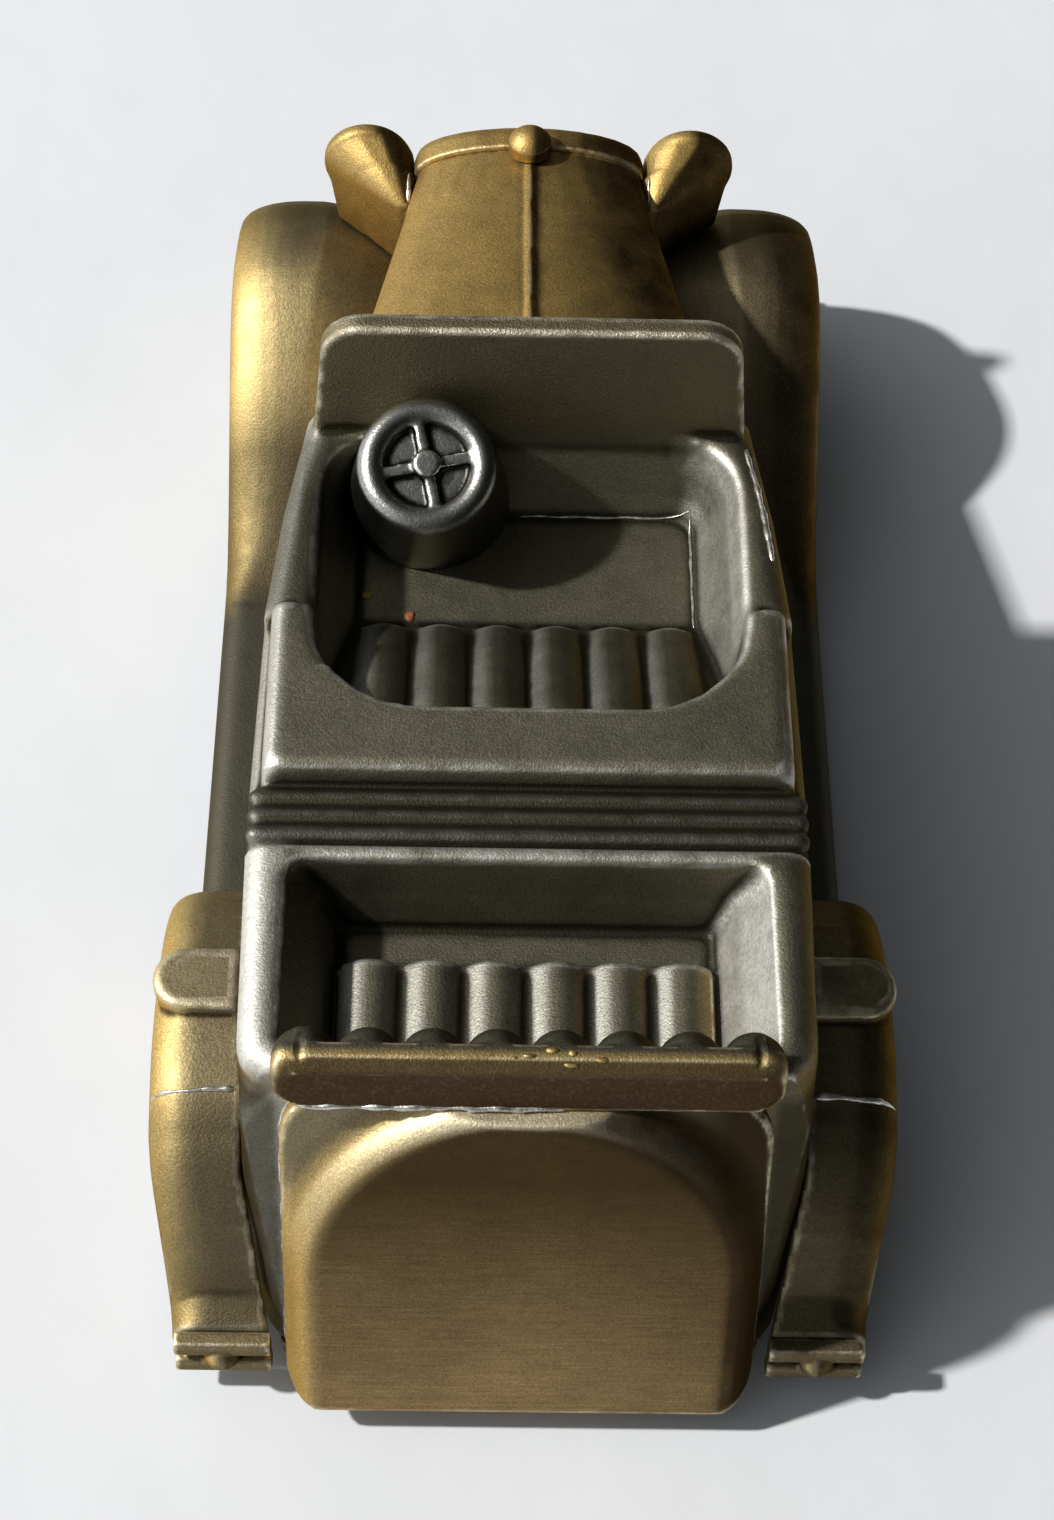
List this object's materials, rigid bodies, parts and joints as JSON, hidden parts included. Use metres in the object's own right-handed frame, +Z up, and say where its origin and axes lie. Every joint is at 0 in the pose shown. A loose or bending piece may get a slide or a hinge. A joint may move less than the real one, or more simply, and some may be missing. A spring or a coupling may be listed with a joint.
{
  "type": "car-shaped money box",
  "caption": "Cast metal money box shaped as an open touring car, with rolling wheels, a slotted base plate and a lockable coin trap underneath.",
  "frame": {"origin": "on the ground under the middle of the overall box, between the four wheels", "axes": "+Y to the front of the car, +X to its right-hand side, +Z up"},
  "size_m": [0.074, 0.1604, 0.0585],
  "materials": {
    "pewter_bronze": "dark antique plating, satin, worn to silver at the edges",
    "antique_bronze": "antique bronze plating, satin, gold where rubbed",
    "cover_bronze": "brushed matt antique bronze",
    "wheel_bronze": "antique bronze plating, satin",
    "plate_bronze": "bronze-plated sheet steel",
    "steel": "plain steel",
    "lock_brass": "turned brass"
  },
  "bodies": {
    "castings": {"body_shell": "pewter_bronze", "bonnet": "antique_bronze", "radiator_shell": "antique_bronze", "radiator_cap": "antique_bronze", "windscreen": "pewter_bronze", "steering_wheel": "pewter_bronze", "rumble_seat_back": "antique_bronze", "spare_wheel_cover": "cover_bronze", "left_fender": "antique_bronze", "right_fender": "antique_bronze", "left_headlamp": "antique_bronze", "right_headlamp": "antique_bronze", "front_bumper": "antique_bronze", "left_rear_bumper": "antique_bronze", "right_rear_bumper": "antique_bronze", "base_plate": "plate_bronze", "base_screws": "steel", "trap_hinge_pin": "steel"},
    "front_wheels": {"front_axle": "steel", "front_left_wheel": "wheel_bronze", "front_right_wheel": "wheel_bronze"},
    "rear_wheels": {"rear_axle": "steel", "rear_left_wheel": "wheel_bronze", "rear_right_wheel": "wheel_bronze"},
    "coin_trap": {"trap_door": "plate_bronze", "lock_case": "steel"},
    "lock": {"lock_plug": "lock_brass", "locking_bar": "steel", "bar_screw": "steel"}
  },
  "joints": [
    {"name": "front_axle_spin", "type": "hinge", "parent": "castings", "child": "front_wheels", "pos_m": [0, 0.0555, 0.0125], "axis": [1, 0, 0], "continuous": true},
    {"name": "rear_axle_spin", "type": "hinge", "parent": "castings", "child": "rear_wheels", "pos_m": [0, -0.0495, 0.0125], "axis": [1, 0, 0], "continuous": true},
    {"name": "trap_door_hinge", "type": "hinge", "parent": "castings", "child": "coin_trap", "pos_m": [0, 0.0027, 0.0034], "axis": [1, 0, 0], "range_deg": [0, 80]},
    {"name": "lock_turn", "type": "hinge", "parent": "coin_trap", "child": "lock", "pos_m": [0, -0.0226, 0.0035], "axis": [0, 0, -1], "range_deg": [0, 90]}
  ]
}
